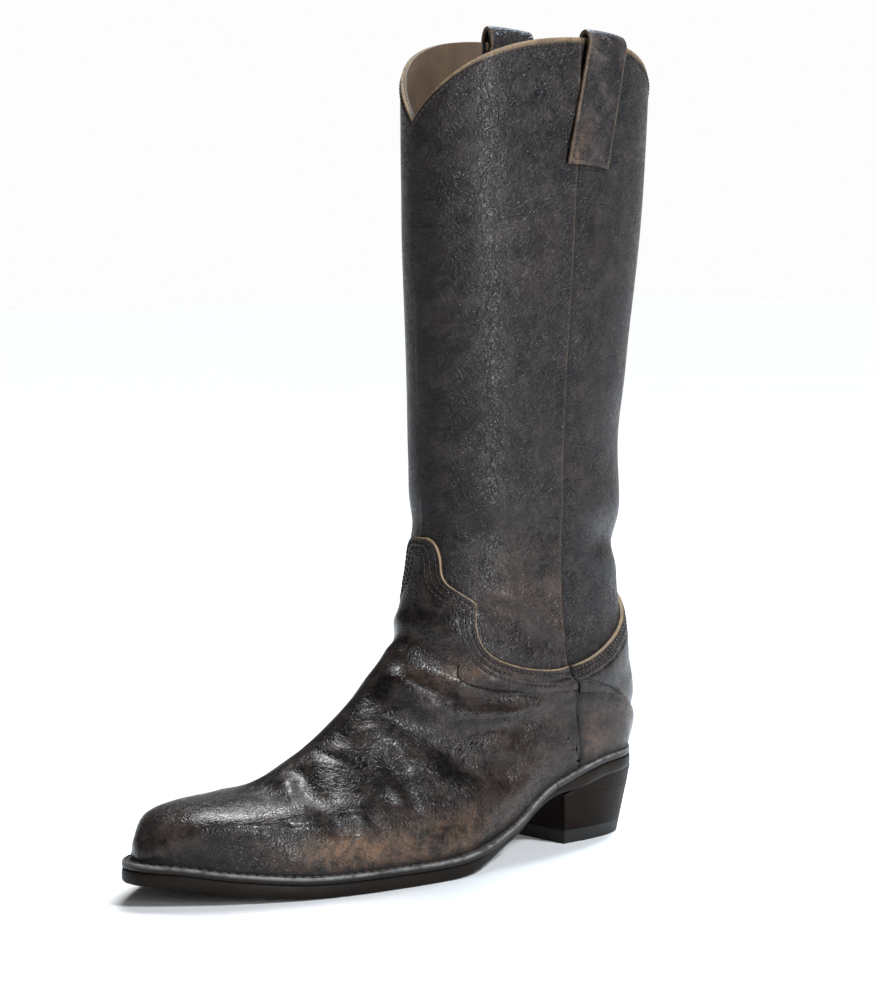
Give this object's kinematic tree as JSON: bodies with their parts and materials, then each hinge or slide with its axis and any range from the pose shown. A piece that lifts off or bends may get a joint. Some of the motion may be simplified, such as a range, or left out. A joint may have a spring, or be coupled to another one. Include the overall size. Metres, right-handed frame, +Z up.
{
  "type": "cowboy boot",
  "caption": "Left cowboy boot with tall scalloped shaft, pull straps, tongued vamp, heel counter, welted leather sole and stacked block heel.",
  "frame": {"origin": "centre of the bounding box in X and Y, at the ground", "axes": "+Z up along the shaft, -X towards the toe, -Y towards the outer side"},
  "size_m": [0.3052, 0.1002, 0.383],
  "materials": {
    "vamp_leather": "distressed, oiled",
    "shaft_leather": "distressed, waxed",
    "strap_leather": "worn",
    "lining_leather": "smooth, unfinished",
    "fibreboard": "matte",
    "dark_thread": "waxed thread",
    "insole_leather": "smooth",
    "pale_thread": "waxed thread",
    "cork": "granulated cork",
    "steel": "plain",
    "welt_leather": "waxed edge",
    "sole_leather": "waxed edge, worn underside",
    "heel_leather": "stacked, burnished",
    "top_lift_rubber": "matte",
    "brass": "plain",
    "peg_wood": "plain"
  },
  "bodies": {
    "root": {"vamp": "vamp_leather", "counter_cover": "vamp_leather", "shaft_front": "shaft_leather", "shaft_back": "shaft_leather", "side_welt_lateral": "shaft_leather", "side_welt_medial": "shaft_leather", "pull_strap_lateral": "strap_leather", "pull_strap_medial": "strap_leather", "vamp_lining": "lining_leather", "shaft_lining_front": "lining_leather", "shaft_lining_back": "lining_leather", "toe_box": "fibreboard", "heel_counter": "fibreboard", "vamp_stitch": "dark_thread", "counter_stitch": "dark_thread", "strap_stitch": "dark_thread", "top_line_stitch": "dark_thread", "insole": "insole_leather", "insole_rib": "insole_leather", "inseam_thread": "pale_thread", "cork_filler": "cork", "shank": "steel", "shank_cover": "fibreboard", "heel_pad": "lining_leather", "welt": "welt_leather", "heel_rand": "welt_leather", "welt_stitch": "pale_thread", "outsole": "sole_leather", "heel_lift_1": "heel_leather", "heel_lift_2": "heel_leather", "heel_lift_3": "heel_leather", "heel_lift_4": "heel_leather", "heel_lift_5": "heel_leather", "top_lift": "top_lift_rubber", "heel_nails": "steel", "top_lift_nails": "brass", "waist_pegs": "peg_wood"}
  },
  "joints": []
}
